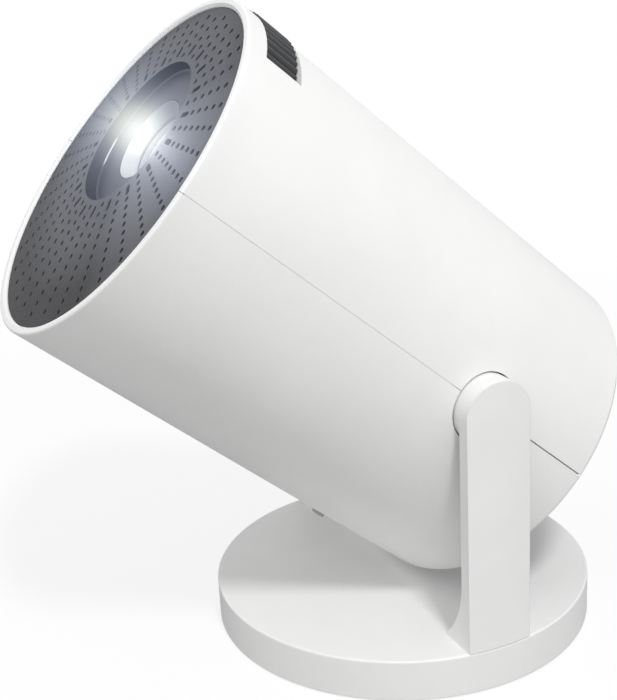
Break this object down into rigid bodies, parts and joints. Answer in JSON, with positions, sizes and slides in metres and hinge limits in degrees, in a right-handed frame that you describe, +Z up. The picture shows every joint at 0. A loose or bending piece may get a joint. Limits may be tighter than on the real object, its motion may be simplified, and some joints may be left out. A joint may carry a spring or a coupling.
{
  "type": "tabletop projector",
  "caption": "Cylindrical tabletop projector: a round head with a perforated front face and focus wheel, tilting between two arms on a round weighted base.",
  "frame": {"origin": "centre of the underside of the base, on the surface it stands on", "axes": "+Z up; the lens looks towards -Y and up; the hinge line lies along X"},
  "size_m": [0.119, 0.1807, 0.1923],
  "materials": {
    "white_plastic": "fine satin moulding texture",
    "dark_plastic": "dark grey satin moulding",
    "black_plastic": "black moulding",
    "rubber": "matt rubber",
    "steel": "bright zinc plate",
    "spring_bronze": "spring bronze",
    "brass": "turned brass",
    "aluminium": "satin anodised",
    "lens_glass": "coated optical glass",
    "clear_plastic": "clear ribbed sheet",
    "panel_glass": "dark display glass",
    "phosphor": "yellow phosphor over the lamp chips",
    "circuit_board": "green solder mask",
    "red_window": "dark red infrared window",
    "blue_light": "clear light pipe"
  },
  "bodies": {
    "stand": {"base_cover": "white_plastic", "base_weight": "steel", "base_plate": "dark_plastic", "rubber_foot": "rubber", "tripod_insert": "brass", "base_screws": "steel", "right_arm": "white_plastic", "left_arm": "white_plastic", "arm_screws": "steel", "right_hinge_pin": "steel", "left_hinge_pin": "steel", "right_spring_washer": "spring_bronze", "left_spring_washer": "spring_bronze"},
    "head": {"upper_shell": "white_plastic", "lower_shell": "white_plastic", "under_bumper": "dark_plastic", "right_hinge_bracket": "steel", "left_hinge_bracket": "steel", "bracket_screws": "steel", "front_grille": "dark_plastic", "lens_cup": "dark_plastic", "lens_mount": "black_plastic", "mount_screws": "steel", "retaining_ring": "steel", "light_housing": "black_plastic", "front_fresnel": "clear_plastic", "lcd_panel": "panel_glass", "rear_fresnel": "clear_plastic", "condenser_lens": "lens_glass", "led_board": "white_plastic", "led_emitter": "phosphor", "heat_sink": "aluminium", "sink_screws": "steel", "fan_frame": "black_plastic", "fan_screws": "steel", "main_board": "circuit_board", "board_chips": "black_plastic", "board_screws": "steel", "speaker_frame": "black_plastic", "speaker_cone": "rubber", "rear_cover": "dark_plastic", "cover_screws": "steel", "power_socket": "black_plastic", "video_socket": "steel", "usb_socket": "steel", "audio_socket": "black_plastic", "button_switch": "circuit_board", "remote_window": "red_window", "status_light": "blue_light"},
    "focus_wheel": {"focus_wheel": "dark_plastic"},
    "lens_barrel": {"lens_barrel": "black_plastic", "lens_bezel": "aluminium", "front_lens": "lens_glass", "middle_lens": "lens_glass", "rear_lens": "lens_glass", "guide_pins": "steel"},
    "fan_rotor": {"fan_rotor": "black_plastic"},
    "power_button": {"power_button": "aluminium"}
  },
  "joints": [
    {"name": "head_tilt", "type": "hinge", "parent": "stand", "child": "head", "pos_m": [0, 0, 0.08303], "axis": [-1, 0, 0], "range_deg": [-40.8, 139.2]},
    {"name": "focus_turn", "type": "hinge", "parent": "head", "child": "focus_wheel", "pos_m": [0, -0.06523, 0.15255], "axis": [0, -0.757, 0.6534], "range_deg": [-60, 60]},
    {"name": "focus_slide", "type": "slide", "parent": "head", "child": "lens_barrel", "axis": [0, -0.757, 0.6534], "range_m": [-0.002, 0.002]},
    {"name": "fan_spin", "type": "hinge", "parent": "head", "child": "fan_rotor", "pos_m": [0, 0.02924, 0.071], "axis": [0, -0.757, 0.6534], "continuous": true},
    {"name": "power_press", "type": "slide", "parent": "head", "child": "power_button", "axis": [0, -0.757, 0.6534], "range_m": [0, 0.0008], "stiffness_N_per_m": 800, "springref_m": -0.0005}
  ],
  "couplings": [
    {"joint": "focus_slide", "follows": "focus_turn", "m_per_rad": 0.0019099}
  ]
}
